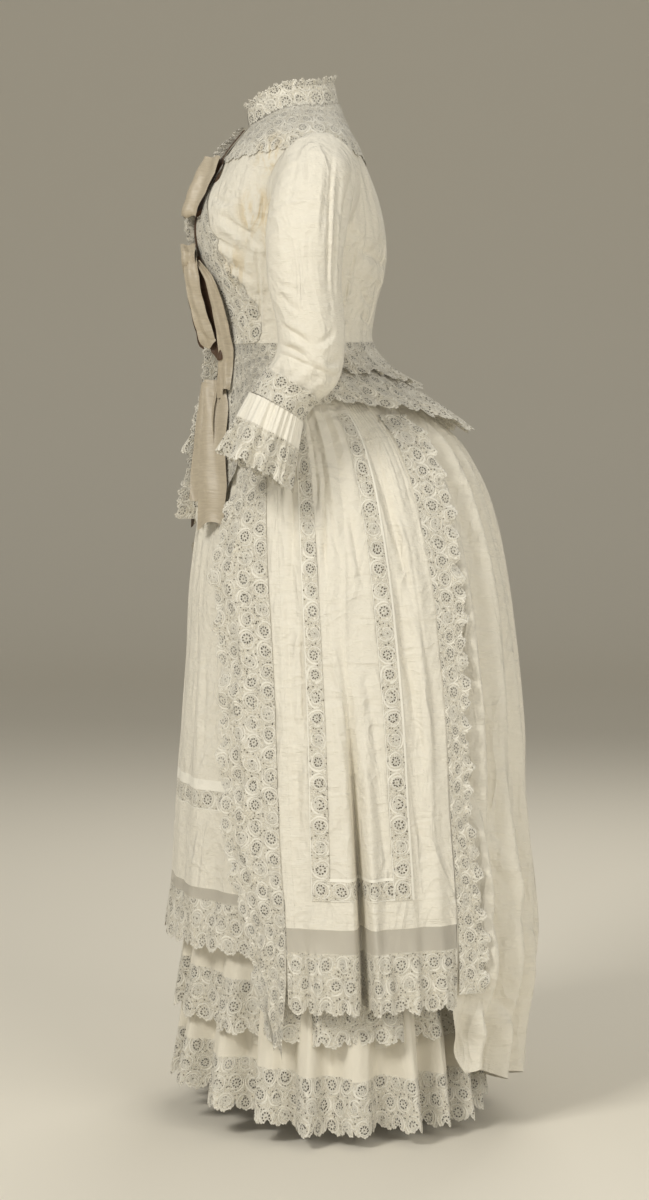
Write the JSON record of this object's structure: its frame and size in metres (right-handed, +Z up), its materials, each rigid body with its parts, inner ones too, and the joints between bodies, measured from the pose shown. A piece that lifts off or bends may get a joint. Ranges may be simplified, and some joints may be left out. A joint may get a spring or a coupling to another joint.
{
  "type": "walking dress of jacket bodice and bustle skirt",
  "caption": "White eyelet cotton walking dress: a jacket bodice with elbow sleeves and ribbon bows over a draped bustle skirt with flounces.",
  "frame": {"origin": "the middle of the neck base between the wearer's shoulders, 1.36 m above the floor, where the shoulders carry the dress", "axes": "+Z up, -Y towards the front of the dress, +X towards the wearer's left"},
  "size_m": [0.5579, 0.5114, 1.3961],
  "materials": {
    "cotton_lawn": "matte ivory cotton lawn, softly creased",
    "eyelet_embroidery": "matte ivory cotton with eyelet embroidery and scalloped edges",
    "satin_ribbon": "cream satin ribbon with a soft sheen"
  },
  "bodies": {
    "root": {"bodice_front_left": "cotton_lawn", "bodice_front_right": "cotton_lawn", "bodice_side_left": "cotton_lawn", "bodice_side_right": "cotton_lawn", "bodice_back_left": "cotton_lawn", "bodice_back_right": "cotton_lawn", "front_band_left": "eyelet_embroidery", "front_band_right": "eyelet_embroidery", "front_edging_left": "eyelet_embroidery", "front_edging_right": "eyelet_embroidery", "yoke_left": "eyelet_embroidery", "yoke_right": "eyelet_embroidery", "collar_band": "eyelet_embroidery", "collar_frill": "eyelet_embroidery", "peplum_front_left": "eyelet_embroidery", "peplum_front_right": "eyelet_embroidery", "peplum_back_left": "eyelet_embroidery", "peplum_back_right": "eyelet_embroidery", "sleeve_upper_left": "cotton_lawn", "sleeve_upper_right": "cotton_lawn", "sleeve_under_left": "cotton_lawn", "sleeve_under_right": "cotton_lawn", "cuff_band_left": "eyelet_embroidery", "cuff_band_right": "eyelet_embroidery", "cuff_ruffle_left": "eyelet_embroidery", "cuff_ruffle_right": "eyelet_embroidery", "bow_one_loop_left": "satin_ribbon", "bow_one_loop_right": "satin_ribbon", "bow_two_loop_left": "satin_ribbon", "bow_two_loop_right": "satin_ribbon", "bow_two_tail_left": "satin_ribbon", "bow_two_tail_right": "satin_ribbon", "bow_three_end_left": "satin_ribbon", "bow_three_end_right": "satin_ribbon", "skirt_waistband": "cotton_lawn", "underskirt_front": "cotton_lawn", "underskirt_back": "cotton_lawn", "upper_flounce_front": "eyelet_embroidery", "upper_flounce_back": "eyelet_embroidery", "lower_flounce_front": "eyelet_embroidery", "lower_flounce_back": "eyelet_embroidery", "apron_upper": "cotton_lawn", "apron_insertion": "eyelet_embroidery", "apron_lower": "cotton_lawn", "apron_border": "eyelet_embroidery", "side_insertion_left": "eyelet_embroidery", "side_insertion_right": "eyelet_embroidery", "side_panel_left": "cotton_lawn", "side_panel_right": "cotton_lawn", "side_border_left": "eyelet_embroidery", "side_border_right": "eyelet_embroidery", "cascade_left": "eyelet_embroidery", "cascade_right": "eyelet_embroidery", "back_edging_left": "eyelet_embroidery", "back_edging_right": "eyelet_embroidery", "back_drape": "cotton_lawn"}
  },
  "joints": []
}
